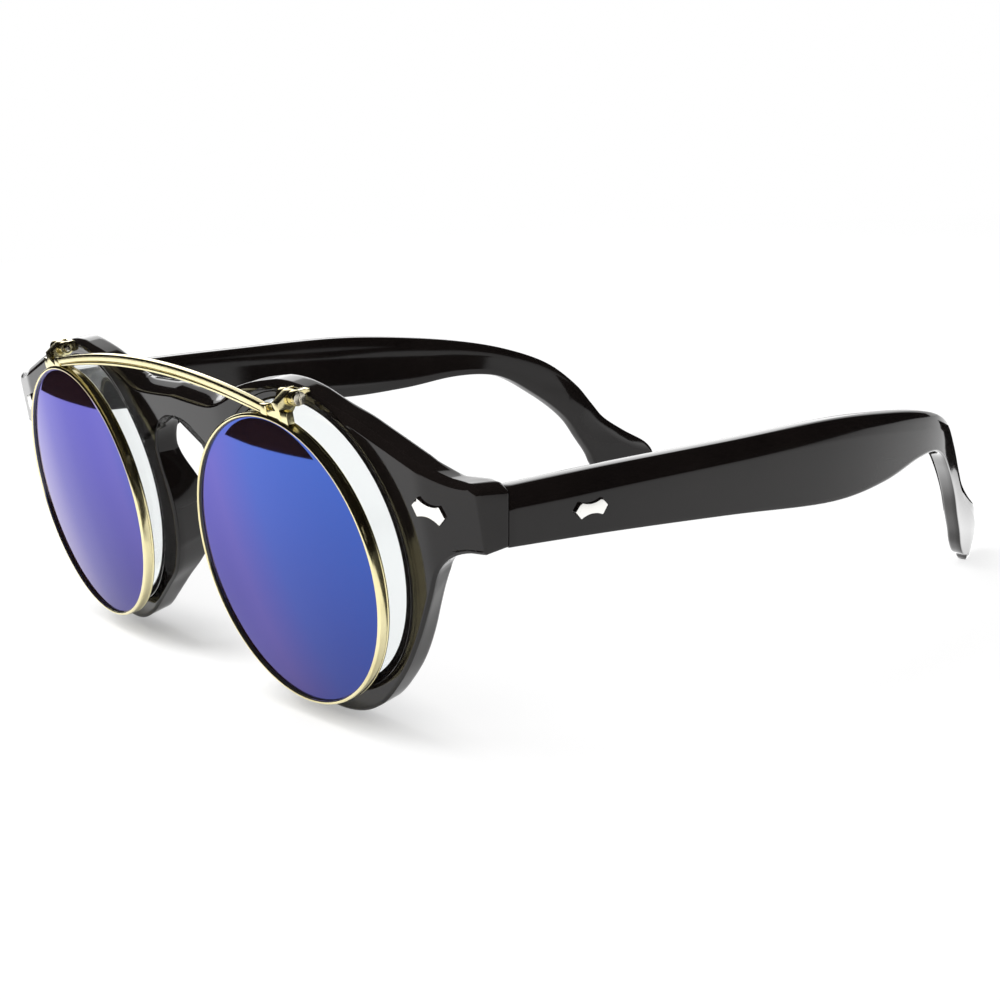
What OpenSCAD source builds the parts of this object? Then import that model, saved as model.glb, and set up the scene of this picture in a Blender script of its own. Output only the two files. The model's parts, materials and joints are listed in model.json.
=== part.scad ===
// Round sunglasses whose tinted lenses flip up on a wire clip, in millimetres.
// The glasses rest open on a flat surface, on the two ring bottoms and the two temple tips.
// Left and right are the wearer's own; the wearer's left is at plus X, and the temples run towards plus Y.

/* [Front] */
// Half the distance between the two lens centres
rim_x = 33; // [31:0.5:36]
// Angle by which each half of the front is swept back
wrap = 3.3; // [1:0.1:6]
// Angle between the front and a square to the temples
panto = 10; // [6:0.5:12]
// Thickness of the front
front_t = 4; // [3.4:0.1:5]
// Radius of each lens opening
opening_r = 21.7; // [19:0.1:22]
// Radius of the outside of each ring
ring_r = 26; // [25.4:0.1:28]
// Sideways shift of the opening from the tinted lens centre
opening_du = 1.4; // [0:0.1:2]
// Height of the opening centre above the tinted lens centre
opening_dv = 1.4; // [0:0.1:2]
// Width of the bevel that frames each opening
bead_w = 1.9; // [1:0.1:2.4]
// Width of the bevel along the front edge
edge_bevel = 1; // [0.4:0.1:1.3]
// Height of the top of the bridge above the lens centres
bridge_top = 22; // [21:0.1:23]
// Height of the bar of the bridge over the nose
bridge_h = 4.5; // [3.5:0.1:6]
// Half width of the nose gap at its widest
keyhole_w = 8.3; // [7:0.1:9]
// Overall half width at the end pieces
half_w = 73.3; // [71:0.1:78]
// How far the nose pads stand out behind the front
pad_out = 5.6; // [4:0.1:7]

/* [Clear lenses] */
// Thickness of the clear lenses
clear_t = 1.8; // [1.2:0.1:2.2]
// Depth of the groove that holds a clear lens
groove = 0.6; // [0.4:0.05:1]

/* [Flip-up clip] */
// Outer radius of a wire rim
rim_r = 22.55; // [21:0.05:23.2]
// Width of a rim seen from the front
rim_w = 1.2; // [1:0.05:1.6]
// Depth of a rim from front to back
rim_d = 2; // [1.8:0.1:2.6]
// Thickness of a tinted lens
tint_t = 1.1; // [0.9:0.1:1.3]
// Radius of the curve of a tinted lens
tint_curve = 180; // [120:10:400]
// Gap between the clip and the front
clip_gap = 2.4; // [2.2:0.1:3.5]
// Radius of the upper bridge wire
rail_r = 0.6; // [0.4:0.05:0.8]
// Radius of the lower bridge wire
low_rail_r = 0.45; // [0.3:0.05:0.6]
// Rise of the upper bridge wire between the rims
rail_rise = 3.3; // [2:0.1:5]
// Gap between the two bridge wires at the middle
rail_gap = 0.6; // [0.3:0.1:1.2]

/* [Flip hinges] */
// Height of the flip axis above the lens centres
flip_z = 24.8; // [24.4:0.1:26]
// Radius of the flip hinge knuckles
flip_r = 1.15; // [0.9:0.05:1.3]
// Radius of the flip hinge pin
flip_pin_r = 0.5; // [0.35:0.05:0.6]
// Outward shift of the flip hinge from the lens centre
flip_u = 4.7; // [3:0.1:7]
// Width of the moving knuckle
flip_w = 1.8; // [1.2:0.1:2.6]
// Width of each fixed ear beside it
ear_w = 1.1; // [0.8:0.1:1.6]
// Width of the tab that carries the rim
tab_w = 5; // [4:0.1:6]

/* [Temples] */
// Thickness of a temple
temple_t = 3.8; // [3.2:0.1:4.6]
// Height of a temple at its hinge
temple_h = 8.15; // [7:0.05:9.2]
// Length from the hinge to the end of the tip
temple_len = 133; // [120:1:145]
// Drop of the tip below the hinge
tip_drop = 24; // [20:0.5:30]
// How far the tip turns inwards
tip_in = 26.5; // [18:0.5:30]

/* [Temple hinges] */
// Radius of the temple hinge barrels
barrel_r = 1.5; // [1.2:0.1:1.8]
// Radius of the temple hinge screw
screw_r = 0.7; // [0.5:0.05:0.8]
// Height of the whole hinge
hinge_h = 6; // [5:0.2:7]
// Height of the middle knuckle
mid_h = 2.2; // [1.6:0.1:3]
// Thickness of the hinge leaves
leaf_t = 0.9; // [0.7:0.1:1.2]

/* [Plaques] */
// Length of a rivet plaque
plaque_l = 5.8; // [4:0.1:6.5]
// Height of a rivet plaque
plaque_h = 2.3; // [1.8:0.1:3]
// How far a plaque stands proud
plaque_proud = 0.35; // [0.2:0.05:0.6]

/* [Hidden] */

// Clearances
run_gap = 0.05;
seat_gap = 0.04;
face_gap = 0.1;
cut = 0.5;

// Depths of the front, measured back from the front of the clip
face_d = rim_d + clip_gap;
back_d = face_d + front_t;
bevel_depth = 0.7;
back_bevel = 0.7;

// The ring outline is a circle that is cut back below the nose pad, and its lower outer flank rises to the end piece
ring_dv = 0.3;
function ring_pt(a) = [0, ring_dv] + ring_r * [cos(a), sin(a)];
ring_k = ring_r / 26;
mid_u = -18;
nose_from = 195;
nose_to = 275;
mid_point = [mid_u, -15 * ring_k];
nose_line = [ring_pt(nose_from), [-22.4, -11.3] * ring_k, mid_point, [-13, -18.6] * ring_k, [-8.4, -21.4] * ring_k,
    [-3.3, -24] * ring_k, ring_pt(nose_to)];
nose_curve = spline(nose_line, 2);
flank_from = 280;
grow = ring_r - 26;
flank_line = [ring_pt(flank_from), [9 + 0.5 * grow, -23.7 - 0.9 * grow], [13.6 + 0.6 * grow, -20.4 - 0.7 * grow],
    [17.8 + 0.6 * grow, -16.6 - 0.6 * grow], [20.9 + 0.6 * grow, -13.2 - 0.5 * grow], [24.3 + 0.6 * grow, -8.8 - 0.4 * grow],
    [26.8 + 0.5 * grow, -5 - 0.3 * grow], [28.6 + 0.4 * grow, -1.9], [30, 0.8]];

// Curves through points
function quad(a, b, c, t) = (1 - t) * (1 - t) * a + 2 * t * (1 - t) * b + t * t * c;
function mix(a, b, c, d, t) = 0.5 * (2 * b + (c - a) * t + (2 * a - 5 * b + 4 * c - d) * t * t
    + (3 * b - a - 3 * c + d) * t * t * t);
function spline(p, n) = let (m = len(p) - 1) concat(
    [for (i = [0:m - 1]) for (k = [0:n - 1]) mix(p[max(i - 1, 0)], p[i], p[i + 1], p[min(i + 2, m)], k / n)],
    [p[m]]);

// The end piece: its top and underside sweep out from the ring to the corner, and it bends back at arm_u
arm_u = 30;
arm_turn = 11;
corner_u = half_w - rim_x - 0.1;
corner_top = 15.3;
corner_low = 5.5;
corner_drop = 0.7;
top_leave = 66;
top_from = ring_pt(top_leave);
top_slope = -cos(top_leave) / sin(top_leave);
top_knee = [top_from[0] + (corner_top - top_from[1]) / top_slope, corner_top];
function arm_top(t) = quad(top_from, top_knee, [corner_u, corner_top], t);
top_a = top_from[0] - 2 * top_knee[0] + corner_u;
top_b = top_knee[0] - top_from[0];
bend_t = (sqrt(top_b * top_b - top_a * (top_from[0] - arm_u)) - top_b) / top_a;
under_to = [arm_u + 6.5, corner_low - 0.1];
function arm_under(t) = quad([arm_u, 0.8], [arm_u + 2.1, 4.7], under_to, t);

// The bridge and the keyhole above the nose; the bridge is flat inside the line at mid_u
keyhole_r = 6.3;
keyhole_top = bridge_top - bridge_h;
keyhole_c = [keyhole_w - keyhole_r - rim_x, keyhole_top - keyhole_r];
shoulder_line = [[-4.6, ring_dv + ring_r - 0.4], [-10.8, bridge_top + 2.1], [-14.5, bridge_top + 0.9], [mid_u, bridge_top]];
bridge_line = [[mid_u, bridge_top], [-22, bridge_top - 0.4], [-27, bridge_top - 0.3], [-rim_x, bridge_top]];

// Half the outline of the front from the top of the nose gap round to the top of the bridge
low_middle = concat([[-rim_x, keyhole_top]],
    [for (a = [90:-11.5:-25]) keyhole_c + keyhole_r * [cos(a), sin(a)]],
    [for (a = [165:6:nose_from - 3]) ring_pt(a)], [for (i = [0:4]) nose_curve[i]]);
low_ring = concat([for (i = [5:12]) nose_curve[i]], spline(flank_line, 2));
arm_edge = concat([for (t = [0.25:0.25:1]) arm_under(t)], [[corner_u, corner_low], [corner_u, corner_top - corner_drop]],
    [for (k = [1:3]) arm_top(1 - k * (1 - bend_t) / 4)]);
top_ring = concat([for (k = [0:5]) arm_top(bend_t * (1 - k / 6))], [for (a = [top_leave:4:94]) ring_pt(a)],
    spline(shoulder_line, 2));
top_middle = [for (i = [1:3 * 2]) spline(bridge_line, 2)[i]];
half_path = [for (p = concat(low_middle, low_ring, arm_edge, top_ring, top_middle)) p + [rim_x, 0]];
low_mid = len(low_middle) - 1;
low_bend = low_mid + len(low_ring);
top_bend = low_bend + len(arm_edge) + 1;
top_mid = top_bend + len(top_ring) - 1;
last_half = len(half_path) - 1;
whole_path = concat(half_path, [for (i = [last_half - 1:-1:1]) [-half_path[i][0], half_path[i][1]]]);
path_n = len(whole_path);
function span(i, j) = [for (k = [i:j]) k];
function down(i, j) = [for (k = [i:-1:j]) k];

// Triangles between a lower and an upper run of points, advanced by the smaller of their parameters
function strip(a, b, pa, pb, i = 0, j = 0) =
    i == len(a) - 1 && j == len(b) - 1 ? []
    : j == len(b) - 1 || (i < len(a) - 1 && pa[i + 1] <= pb[j + 1])
        ? concat([[a[i], a[i + 1], b[j]]], strip(a, b, pa, pb, i + 1, j))
    : concat([[a[i], b[j + 1], b[j]]], strip(a, b, pa, pb, i, j + 1));
function across(a) = [for (i = a) whole_path[i][0]];
nose_n = 8;
nose_side = (rim_x + mid_u) / keyhole_w;
corner_i = low_bend + 5;
half_caps = let (keyhole = span(0, low_mid), over = down(last_half, top_mid), ring_low = span(low_mid, low_bend),
        ring_top = down(top_mid, top_bend), arm_low = span(low_bend, corner_i), arm_high = down(top_bend, corner_i + 1))
    concat(strip(keyhole, over, [for (i = keyhole) i < nose_n ? whole_path[i][0] * nose_side : rim_x], across(over)),
        strip(ring_low, ring_top, across(ring_low), across(ring_top)),
        strip(arm_low, arm_high, across(arm_low), across(arm_high)));
function other(i) = i == 0 ? 0 : path_n - i;
front_caps = concat(half_caps, [for (c = half_caps) [other(c[2]), other(c[1]), other(c[0])]]);

// Where a point of the flat outline goes once the front is swept and its end pieces are bent back
function bent(u, d) = u < arm_u ? [u, d] : [arm_u, face_d]
    + [(u - arm_u) * cos(arm_turn) - (d - face_d) * sin(arm_turn), (u - arm_u) * sin(arm_turn) + (d - face_d) * cos(arm_turn)];
function swept_x(u, d) = rim_x + u * cos(wrap) - d * sin(wrap);
function swept(p, d) = let (side = p[0] < 0 ? -1 : 1, q = bent(abs(p[0]) - rim_x, d))
    [side * (q[0] > mid_u ? swept_x(q[0], q[1]) : abs(p[0]) * swept_x(mid_u, d) / (rim_x + mid_u)),
        max(q[0], mid_u) * sin(wrap) + q[1] * cos(wrap), p[1]];

// An outline drawn in by a distance, corner by corner
function unit(p) = p / norm(p);
function drawn_in(p, by) = let (n = len(p)) [for (i = [0:n - 1])
    let (e = unit(p[(i + 1) % n] - p[(i + n - 1) % n])) p[i] - by * [e[1], -e[0]]];

// A solid through a stack of rings with equal counts of points, ordered from front to back
module loft(rings, caps) {
    n = len(rings[0]);
    last = len(rings) - 1;
    walls = [for (i = [0:last - 1]) for (j = [0:n - 1]) for (f = [0:1])
        let (a = i * n + j, b = i * n + (j + 1) % n, c = b + n, d = a + n) f == 0 ? [a, b, c] : [a, c, d]];
    front = [for (c = caps) [for (j = [len(c) - 1:-1:0]) c[j]]];
    back = [for (c = caps) [for (j = c) last * n + j]];
    polyhedron(points = [for (r = rings) each r], faces = concat(walls, front, back), convexity = 6);
}

// The rest pose: the tilt that brings the ring bottoms and the tips to the surface
ring_low = [face_d * cos(panto) + (ring_r - ring_dv) * sin(panto), face_d * sin(panto) - (ring_r - ring_dv) * cos(panto)];

// The temple: pairs of points on its upper and lower edge, as [y, z], from the hinge to the tip
seam_y = 10.7;
hinge_mid = 11.8;
ly = (temple_len + seam_y) / 143.6;
dz = tip_drop / 24;
function at(y, z) = [seam_y + (y - seam_y) * ly, z > hinge_mid - 4 ? z : hinge_mid - 4 + (z - hinge_mid + 4) * dz];
upper_line = [[seam_y, hinge_mid + temple_h / 2], at(30, 17.1), at(52, 17.9), at(75, 18.6), at(92, 17.8),
    at(105, 16.3), at(114, 14.2), at(121, 11.2), at(126.5, 6.5), at(130, 2), at(132.6, -1.2), at(137, -4.4),
    at(141.8, -7.4), at(143.6, -10.6), at(142.3, -14), at(139.3, -15.9)];
lower_line = [[seam_y, hinge_mid - temple_h / 2], at(30, 7.7), at(52, 7), at(75, 5.85), at(90, 6.9),
    at(101, 8.8), at(108.5, 9.05), at(113.5, 7.7), at(118.5, 4.4), at(122.5, 1.2), at(125.5, -2), at(127.8, -5.8),
    at(130, -9.5), at(131.4, -12.6), at(133.5, -15.2), at(136, -16.3)];
plan_line = [[seam_y, half_w], [33, half_w + 0.7], [60, half_w - 0.2], [80, half_w - 0.08 * tip_in],
    [97, half_w - 0.22 * tip_in], [112, half_w - 0.42 * tip_in], [128, half_w - 0.74 * tip_in],
    [145, half_w - 1.02 * tip_in]];
plan_curve = [for (p = spline(plan_line, 6)) [seam_y + (p[0] - seam_y) * ly, p[1]]];
function plan_x(y) = lookup(y, plan_curve);
upper_edge = spline(upper_line, 3);
lower_edge = spline(lower_line, 3);
temple_n = len(upper_edge) - 1;
function thick(i) = temple_t * (i < temple_n * 0.3 ? 1 : 1 - 0.28 * (i / temple_n - 0.3) / 0.7);

// The lowest point of the tip decides how far the glasses tilt back
function low_of(a) = let (h = [for (p = lower_edge) p[1] * cos(a) - p[0] * sin(a)]) lower_edge[search(min(h), h)[0]];
guess_low = low_of(3.7);
rest_tilt = atan((guess_low[1] - ring_low[1]) / (guess_low[0] - ring_low[0]));
lift = ring_low[0] * sin(rest_tilt) - ring_low[1] * cos(rest_tilt);

// The middle of the whole length, from the front of the rims to the back of the tips
lean = panto - rest_tilt;
front_most = -(rim_r - 0.3) * norm([sin(wrap) * cos(lean), sin(lean)]);
back_most = max([for (p = upper_edge) p[0] * cos(rest_tilt) + p[1] * sin(rest_tilt)]);
centre_y = (front_most + back_most) / 2;

// Flip hinge: its axis runs along X, just in front of the rings
flip_y = face_d + flip_u * sin(wrap) - flip_r - 0.2;
flip_x = rim_x + flip_u;
ear_out = flip_w / 2 + face_gap + ear_w;
flip_reach = 0.3;
base_y = flip_y + flip_r + flip_reach;
base_t = 0.7;
base_low = flip_z - 0.8;
base_h = 1.7;
peg_r = 0.55;
peg_l = 1.4;

// Temple hinge: its axis stands behind the seam, inside the temple
hinge_x = half_w - temple_t - barrel_r + 0.2;
side_gap = 0.1;
leaf_l = 7;
leaf_sink = 0.6;
front_leaf_u = 31.4;
front_leaf_l = 5.4;
leaf_x = half_w - temple_t - leaf_t + leaf_sink;
hinge_low = hinge_mid - hinge_h / 2;
side_h = (hinge_h - mid_h) / 2 - face_gap;
leaf_v = hinge_low * cos(panto) - (seam_y - 2) * sin(panto);
link_l = 3.2;
link_w = 1.6;

// Grooves that hold the lenses
groove_d = back_d - clear_t - 0.75;
lens_groove = 0.6;
lens_d = (rim_d - tint_t) / 2;

// Edges of a wire rim and the depth of the line around its outside
rim_soft = 0.25;
line_in = 0.15;

// Rivet plaques: places on the end piece and on the temple, and how deep they sit
plaque_u = 31.2 - arm_u;
plaque_v = 11.1;
plaque_turn = 11;
plaque_sink = 1;
temple_plaque_y = 24.3;
temple_plaque_z = 11.6;
temple_plaque_turn = 3.5;

// Rounded corners of a nose pad: distance from the side of the nose gap, depth behind the front, height and radius
pad_corners = [[1.3, -1.2, 7, 1.6], [2.1, -1.4, -8.5, 1.8], [2.6, pad_out - 2.6, -1.5, 1.7],
    [4.9, pad_out - 2.8, -8, 1.9], [4.3, -0.6, 2, 2], [6.2, -0.8, -10, 2]];

// Edge rounding of the temples
soft = 0.9;

module rest_pose() {
    translate([0, -centre_y, lift]) rotate([-rest_tilt, 0, 0]) children();
}

module front_plane() {
    rest_pose() rotate([panto, 0, 0]) children();
}

module one_side(side) {
    if (side > 0) children();
    else mirror([1, 0, 0]) children();
}

// Local coordinates of half the front: X outwards, Y back, Z up, from the tinted lens centre
module half_plane() {
    translate([rim_x, 0, 0]) rotate([0, 0, wrap]) children();
}

// A disc or tube along the depth of the front
module along_depth(d0, d1, r, r_back = -1) {
    translate([0, d0, 0]) rotate([-90, 0, 0]) cylinder(h = d1 - d0, r1 = r, r2 = r_back < 0 ? r : r_back, $fn = 160);
}

module opening_place() {
    translate([opening_du, 0, opening_dv]) children();
}

// The flat position of the points on the two fold lines at one depth
function fold_u(i, d) = i == low_mid || i == top_mid ? mid_u
    : i == low_bend || i == top_bend ? arm_u - (d - face_d) * tan(arm_turn / 2) : undef;
function layer(d, by) = let (flat = drawn_in(whole_path, by)) [for (i = [0:path_n - 1])
    let (u = fold_u(min(i, path_n - i), d), side = flat[i][0] < 0 ? -1 : 1, q = flat[i],
        e = whole_path[(i + 1) % path_n] - whole_path[(i + path_n - 1) % path_n])
    swept(is_undef(u) ? q : q + e * ((side * (rim_x + u) - q[0]) / e[0]), d)];

module front_slab() {
    loft([layer(face_d, edge_bevel), layer(face_d + 0.15, edge_bevel * 0.55), layer(face_d + bevel_depth, 0),
        layer(back_d - back_bevel, 0), layer(back_d, back_bevel)], front_caps);
}

module end_block() {
    seam_low = hinge_mid - temple_h / 2;
    hull() {
        half_plane() translate([arm_u, face_d, 0]) rotate([0, 0, arm_turn])
            translate([corner_u - arm_u - 3.4, bevel_depth, corner_low + 0.1])
            cube([3.3, front_t - 1, corner_top - corner_drop - corner_low - 0.3]);
        rotate([-panto, 0, 0]) translate([half_w - temple_t, seam_y - side_gap - 0.2, seam_low])
            cube([temple_t, 0.2, temple_h - 0.6]);
        rotate([-panto, 0, 0]) translate([half_w - temple_t + 0.6, seam_y - side_gap - 0.2, seam_low])
            cube([temple_t - 1.4, 0.2, temple_h]);
    }
}

module nose_pad() {
    hull() for (c = pad_corners)
        translate([c[0] + keyhole_w, back_d + c[1], c[2]]) sphere(r = c[3], $fn = 24);
}

module opening_cuts() {
    step = bead_w * 0.42;
    opening_place() {
        along_depth(face_d - cut, back_d + cut + pad_out, opening_r);
        along_depth(face_d - 0.01, face_d + 0.55, opening_r + bead_w, opening_r + bead_w - step * 0.7);
        along_depth(face_d + 0.54, face_d + 1.5, opening_r + bead_w - step, opening_r);
        along_depth(groove_d, groove_d + clear_t + 2 * seat_gap, opening_r + groove);
    }
}
module flip_seat() {
    translate([flip_x - ear_out - seat_gap, face_d - 2, base_low - seat_gap])
        cube([2 * (ear_out + seat_gap), base_y + base_t + seat_gap - face_d + 2, base_h + 4]);
    translate([flip_x, face_d, flip_z]) rotate([-90, 0, 0])
        cylinder(h = base_y + base_t + peg_l + 0.1 - face_d, r = peg_r + seat_gap, $fn = 32);
}

module front_frame() {
    color("#141312") front_plane() difference() {
        union() {
            front_slab();
            for (s = [-1, 1]) one_side(s) {
                end_block();
                nose_pad();
            }
        }
        for (s = [-1, 1]) one_side(s) {
            half_plane() opening_cuts();
            half_plane() plaque_place() plaque_pocket();
            flip_seat();
            half_plane() arm_plane() front_leaf_recess();
            rotate([-panto, 0, 0]) {
                barrel_room();
                link_room();
                temple_room();
            }
        }
    }
}

module clear_lens(side) {
    color("#dfe6ea", 0.35) front_plane() one_side(side) half_plane() opening_place()
        along_depth(groove_d + seat_gap, groove_d + seat_gap + clear_t, opening_r + groove - seat_gap);
}

// Plaque outline: pointed ends and dished long sides
module plaque_outline(grow = 0) {
    l = plaque_l / 2 + grow;
    h = plaque_h / 2 + grow;
    dish = 5;
    difference() {
        polygon([[-l, 0], [-l * 0.62, -h], [l * 0.62, -h], [l, 0], [l * 0.62, h], [-l * 0.62, h]]);
        for (s = [-1, 1]) translate([0, s * (h - 0.22 * plaque_h + dish)]) circle(r = dish, $fn = 64);
    }
}

module plaque_place() {
    translate([arm_u, face_d, 0]) rotate([0, 0, arm_turn]) translate([plaque_u, 0, plaque_v])
        rotate([0, plaque_turn, 0]) rotate([90, 0, 0]) children();
}

module plaque_pocket() {
    translate([0, 0, -plaque_sink - seat_gap]) linear_extrude(plaque_sink + 2) plaque_outline(seat_gap);
}

module plaque_solid() {
    translate([0, 0, -plaque_sink]) linear_extrude(plaque_sink + plaque_proud) plaque_outline();
}

module front_plaque(side) {
    color("#d9d5cb") front_plane() one_side(side) half_plane() plaque_place() plaque_solid();
}

// Fixed ears of the flip hinge on a base that seats in the top of the ring, with a peg pressed in behind it
module flip_bracket(side) {
    color("#cdbb84") front_plane() one_side(side) difference() {
        union() {
            for (s = [-1, 1]) translate([flip_x + s * (ear_out - ear_w / 2) - ear_w / 2, 0, 0]) {
                translate([0, flip_y, flip_z]) rotate([0, 90, 0]) cylinder(h = ear_w, r = flip_r, $fn = 48);
                translate([0, flip_y, base_low]) cube([ear_w, base_y + 0.1 - flip_y, flip_r - 0.1 - base_low + flip_z]);
            }
            translate([flip_x - ear_out, base_y, base_low]) cube([2 * ear_out, base_t, base_h]);
            translate([flip_x, base_y, flip_z]) rotate([-90, 0, 0]) cylinder(h = base_t + peg_l, r = peg_r, $fn = 32);
        }
        translate([flip_x - 5, flip_y, flip_z]) rotate([0, 90, 0]) cylinder(h = 10, r = flip_pin_r + run_gap, $fn = 32);
    }
}

module flip_pin(side) {
    head_t = 0.5;
    tail = 0.4;
    color("#b8b2a2") front_plane() one_side(side) translate([flip_x, flip_y, flip_z]) rotate([0, 90, 0]) difference() {
        union() {
            translate([0, 0, -ear_out - tail]) cylinder(h = 2 * ear_out + tail + 0.02, r = flip_pin_r, $fn = 32);
            translate([0, 0, ear_out + 0.02]) cylinder(h = head_t, r = flip_pin_r + 0.5, $fn = 32);
        }
        translate([-2, -0.12, ear_out + head_t - 0.2]) cube([4, 0.24, 1]);
    }
}

// Moving tab: a plate on top of the rim that turns back to the middle knuckle
module clip_tab(side) {
    plate_t = 1.2;
    plate_low = rim_r - 1;
    plate_top = flip_z - flip_r - 0.3;
    plate_y = 0.35 + flip_u * sin(wrap);
    color("#e6cf8c") front_plane() one_side(side) difference() {
        union() {
            half_plane() translate([flip_u - tab_w / 2, 0.35, plate_low]) cube([tab_w, plate_t, plate_top - plate_low]);
            translate([flip_x - flip_w / 2, 0, 0]) rotate([90, 0, 90]) linear_extrude(flip_w)
                polygon([[plate_y, plate_low], [plate_y + plate_t, plate_low], [flip_y + 0.3, flip_z - flip_r * 0.96],
                    [flip_y, flip_z + flip_r], [flip_y - 0.5, flip_z + flip_r * 0.9], [plate_y, flip_z - 0.3]]);
            translate([flip_x - flip_w / 2, flip_y, flip_z]) rotate([0, 90, 0]) cylinder(h = flip_w, r = flip_r, $fn = 48);
        }
        translate([flip_x - 5, flip_y, flip_z]) rotate([0, 90, 0]) cylinder(h = 10, r = flip_pin_r + run_gap, $fn = 32);
        half_plane() along_depth(-1, 4, rim_r + 0.001);
    }
}

module clip_rim(side) {
    inner = rim_r - rim_w;
    color("#ecd795") front_plane() one_side(side) half_plane() rotate([-90, 0, 0])
        rotate_extrude($fn = 180) difference() {
            polygon([[inner, rim_soft], [inner + rim_soft, 0], [rim_r - rim_soft, 0], [rim_r, rim_soft],
                [rim_r, 0.55 * rim_d], [rim_r - line_in, 0.6 * rim_d], [rim_r - line_in, 0.7 * rim_d],
                [rim_r, 0.75 * rim_d], [rim_r, rim_d - rim_soft], [rim_r - rim_soft, rim_d],
                [inner + rim_soft, rim_d], [inner, rim_d - rim_soft]]);
            translate([inner - 1, lens_d - seat_gap]) square([1 + lens_groove, tint_t + 2 * seat_gap]);
        }
}

module tinted_lens(side) {
    inner = rim_r - rim_w - 0.1;
    lens_r = rim_r - rim_w + lens_groove - seat_gap;
    steps = 10;
    edge = sqrt(pow(tint_curve, 2) - inner * inner);
    dome = [for (i = [0:steps - 1]) let (r = inner * (1 - i / steps)) [r, lens_d + edge - sqrt(pow(tint_curve, 2) - r * r)]];
    color("#4a6fd0") front_plane() one_side(side) half_plane() rotate([-90, 0, 0]) rotate_extrude($fn = 180)
        polygon(concat([[0, lens_d + tint_t], [lens_r, lens_d + tint_t], [lens_r, lens_d]], dome, [[0, dome[steps - 1][1]]]));
}

// Two wires joined by a small block at each end, which is soldered to the tab beside it
module clip_bridge() {
    end_x = flip_x - tab_w / 2 - 0.35;
    rail_y = 1;
    end_z = rim_r + rail_r + 0.1;
    color("#ecd795") front_plane() {
        rail(end_x, end_z, rail_rise, rail_r, rail_y);
        rail(end_x, end_z - 0.3, rail_rise + 0.3 - rail_gap - rail_r - low_rail_r, low_rail_r, rail_y);
        for (s = [-1, 1]) one_side(s) difference() {
            half_plane() translate([flip_u - tab_w / 2 - 1.8, 0.4, rim_r - 1.4]) cube([1.8, 1.2, 2.6]);
            half_plane() along_depth(-1, 4, rim_r + 0.001);
        }
    }
}

module rail(half_span, end_z, rise, r, y) {
    big = (half_span * half_span + rise * rise) / (2 * rise);
    sweep = asin(half_span / big);
    translate([0, y, end_z + rise - big]) rotate([90, 0, 0]) rotate([0, 0, 90 - sweep])
        rotate_extrude(angle = 2 * sweep, $fn = 360) translate([big, 0]) circle(r = r, $fn = 24);
}

// Rungs of the temple: rounded sections between its lower and upper edge
function rung(i) = let (u = upper_edge[i], l = lower_edge[i], h = norm(u - l), w = thick(i), c = min(soft, 0.3 * h), s = c / h)
    [for (k = [[0, 2.2 * s], [0, 1 - 1.9 * s], [0.25, 1 - 0.8 * s], [1.1, 1], [w - c, 1], [w, 1 - s], [w, s], [w - c, 0],
        [0.9, 0], [0.2, 0.8 * s]])
        let (p = l + (u - l) * k[1]) [plan_x(p[0]) - k[0] * w / temple_t, p[0], p[1]]];

module temple_blank() {
    loft([for (i = [0:temple_n]) rung(i)], [span(0, len(rung(0)) - 1)]);
}

module temple_plaque_place() {
    translate([plan_x(temple_plaque_y), temple_plaque_y, temple_plaque_z])
        rotate([0, 0, 90]) rotate([90, 0, 0]) rotate([0, 0, temple_plaque_turn]) children();
}

module temple(side) {
    color("#141312") rest_pose() one_side(side) difference() {
        temple_blank();
        temple_plaque_place() plaque_pocket();
        temple_recess();
    }
}

module temple_plaque(side) {
    color("#d9d5cb") rest_pose() one_side(side) temple_plaque_place() plaque_solid();
}

// The plane of the end piece, bent back from the rest of the front
module arm_plane() {
    translate([arm_u, face_d, 0]) rotate([0, 0, arm_turn]) translate([-arm_u, -face_d, 0]) children();
}

module front_leaf_recess() {
    translate([front_leaf_u - seat_gap, back_d - leaf_sink - seat_gap, leaf_v - seat_gap])
        cube([10, 10, hinge_h + 2 * seat_gap]);
}

module link_room() {
    translate([hinge_x - barrel_r - seat_gap, seam_y - link_l - seat_gap, hinge_low - seat_gap])
        cube([link_w + 2 * seat_gap, link_l + 2 * seat_gap, hinge_h + 2 * seat_gap]);
}

// The end piece stops in front of the temple
module temple_room() {
    translate([half_w - temple_t - face_gap, seam_y - side_gap, 0]) cube([temple_t + 2, 6, 2 * hinge_mid]);
}

module barrel_room() {
    translate([hinge_x, seam_y, hinge_low - 1]) cylinder(h = hinge_h + 2, r = barrel_r + 0.3, $fn = 48);
}

module temple_recess() {
    translate([leaf_x - 3, seam_y - 1, hinge_low - seat_gap])
        cube([leaf_t + 3 + seat_gap, leaf_l + 1 + side_gap + seat_gap, hinge_h + 2 * seat_gap]);
    barrel_room();
}

module screw_bore() {
    translate([hinge_x, seam_y, hinge_low - 2]) cylinder(h = hinge_h + 4, r = screw_r + run_gap, $fn = 32);
}

module barrel(z0, h, r = barrel_r) {
    translate([hinge_x, seam_y, z0]) cylinder(h = h, r = r, $fn = 48);
}

module front_hinge_leaf(side) {
    color("#c9c2ae") front_plane() one_side(side) difference() {
        union() {
            half_plane() arm_plane() translate([front_leaf_u, back_d - leaf_sink, leaf_v])
                cube([front_leaf_l, leaf_t, hinge_h]);
            rotate([-panto, 0, 0]) for (z = [hinge_low, hinge_low + hinge_h - side_h]) {
                barrel(z, side_h);
                translate([hinge_x - barrel_r, seam_y - link_l, z]) cube([link_w, link_l, side_h]);
            }
        }
        rotate([-panto, 0, 0]) {
            screw_bore();
            barrel(hinge_mid - mid_h / 2 - face_gap, mid_h + 2 * face_gap, barrel_r + 0.3);
        }
    }
}

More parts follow.
